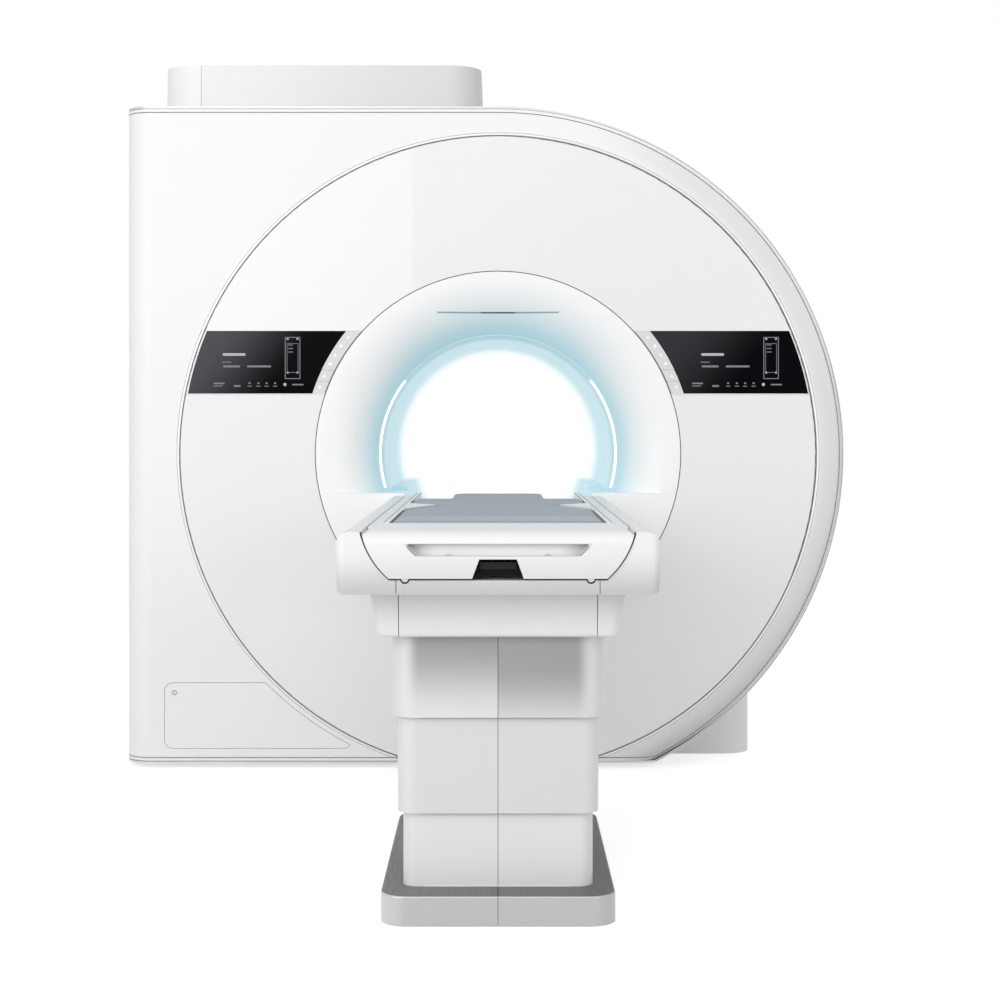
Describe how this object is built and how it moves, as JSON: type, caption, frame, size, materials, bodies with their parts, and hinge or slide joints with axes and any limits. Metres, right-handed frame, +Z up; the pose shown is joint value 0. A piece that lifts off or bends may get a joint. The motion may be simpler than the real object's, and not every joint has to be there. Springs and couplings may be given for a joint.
{
  "type": "mri scanner",
  "caption": "Wide-bore magnetic resonance scanner: D-shaped front with a round glossy disc, lit bore mouth and two displays, and a patient table on a telescoping column.",
  "frame": {"origin": "on the floor straight below the middle of the bore, on the underside of the magnet base", "axes": "+Z up, +Y along the bore away from the table, +X to the right seen from the table"},
  "size_m": [2.3265, 3.757, 2.319],
  "materials": {
    "steel": "satin",
    "vessel": "satin",
    "coil_resin": "matt",
    "bore_plastic": "smooth",
    "cover_white": "satin",
    "disc_gloss": "gloss",
    "trim_bright": "satin",
    "seal_dark": "matt",
    "window_dark": "gloss",
    "light_arc": "lit, diffuse",
    "display_black": "gloss",
    "key_grey": "satin",
    "glide_plastic": "satin",
    "table_white": "smooth",
    "column_white": "satin",
    "base_silver": "metallic satin",
    "mattress_blue": "coated fabric",
    "release_black": "matt"
  },
  "bodies": {
    "gantry": {"magnet_base": "steel", "table_base": "steel", "lower_lift_tube": "steel", "magnet_vessel": "vessel", "helium_turret": "vessel", "cold_head": "vessel", "gradient_coil": "coil_resin", "body_coil": "coil_resin", "bore_liner": "bore_plastic", "bore_mouth": "bore_plastic", "mouth_shelf": "bore_plastic", "bore_bridge": "bore_plastic", "rear_mouth": "bore_plastic", "front_body_cover": "cover_white", "front_bulkhead": "cover_white", "service_panel": "cover_white", "barrel_cover": "cover_white", "rear_cover": "cover_white", "cabinet_cover": "cover_white", "lower_housing": "cover_white", "top_cap": "cover_white", "cap_end": "cover_white", "disc_fascia": "disc_gloss", "perimeter_trim": "trim_bright", "disc_trim_ring": "trim_bright", "mouth_seal": "seal_dark", "slit_window": "window_dark", "light_arc_left": "light_arc", "light_arc_right": "light_arc", "display_left": "display_black", "display_right": "display_black", "touch_strip_left": "key_grey", "touch_strip_right": "key_grey", "bridge_glides": "glide_plastic", "lower_column_left": "column_white", "lower_column_right": "column_white", "base_cover_left": "base_silver", "base_cover_right": "base_silver"},
    "lift_middle": {"middle_column_left": "column_white", "middle_column_right": "column_white", "middle_lift_tube": "steel"},
    "table_head": {"upper_column_left": "column_white", "upper_column_right": "column_white", "upper_lift_tube": "steel", "table_frame": "steel", "side_cover_left": "table_white", "side_cover_right": "table_white", "tray_cover": "table_white", "table_glides": "glide_plastic"},
    "cradle": {"cradle": "table_white", "cradle_nose": "table_white", "mattress": "mattress_blue"},
    "socket_lid_left": {"socket_lid_left": "table_white"},
    "socket_lid_right": {"socket_lid_right": "table_white"},
    "release_paddle": {"release_paddle": "release_black"},
    "panel_lock": {"panel_lock": "trim_bright"},
    "upper_key_left": {"upper_key_left": "key_grey"},
    "lower_key_left": {"lower_key_left": "key_grey"},
    "upper_key_right": {"upper_key_right": "key_grey"},
    "lower_key_right": {"lower_key_right": "key_grey"}
  },
  "joints": [
    {"name": "table_lift", "type": "slide", "parent": "gantry", "child": "table_head", "axis": [0, 0, 1], "range_m": [-0.33, 0]},
    {"name": "middle_lift", "type": "slide", "parent": "gantry", "child": "lift_middle", "axis": [0, 0, 1], "range_m": [-0.165, 0]},
    {"name": "cradle_slide", "type": "slide", "parent": "table_head", "child": "cradle", "axis": [0, 1, 0], "range_m": [0, 1.75]},
    {"name": "release_squeeze", "type": "slide", "parent": "cradle", "child": "release_paddle", "axis": [0, 0, 1], "range_m": [0, 0.006], "stiffness_N_per_m": 800, "springref_m": -0.004},
    {"name": "panel_lock_turn", "type": "hinge", "parent": "gantry", "child": "panel_lock", "pos_m": [-1.0435, -0.776, 0.244], "axis": [0, 1, 0], "range_deg": [0, 90]},
    {"name": "socket_lid_left_turn", "type": "hinge", "parent": "cradle", "child": "socket_lid_left", "pos_m": [-0.2442, -1.83, 0.8918], "axis": [0, -1, 0], "range_deg": [0, 100]},
    {"name": "upper_key_left_press", "type": "slide", "parent": "gantry", "child": "upper_key_left", "axis": [0, 1, 0], "range_m": [0, 0.002], "stiffness_N_per_m": 900},
    {"name": "lower_key_left_press", "type": "slide", "parent": "gantry", "child": "lower_key_left", "axis": [0, 1, 0], "range_m": [0, 0.002], "stiffness_N_per_m": 900},
    {"name": "socket_lid_right_turn", "type": "hinge", "parent": "cradle", "child": "socket_lid_right", "pos_m": [0.2442, -1.83, 0.8918], "axis": [0, 1, 0], "range_deg": [0, 100]},
    {"name": "upper_key_right_press", "type": "slide", "parent": "gantry", "child": "upper_key_right", "axis": [0, 1, 0], "range_m": [0, 0.002], "stiffness_N_per_m": 900},
    {"name": "lower_key_right_press", "type": "slide", "parent": "gantry", "child": "lower_key_right", "axis": [0, 1, 0], "range_m": [0, 0.002], "stiffness_N_per_m": 900}
  ],
  "couplings": [
    {"joint": "middle_lift", "follows": "table_lift", "ratio": 0.5}
  ]
}
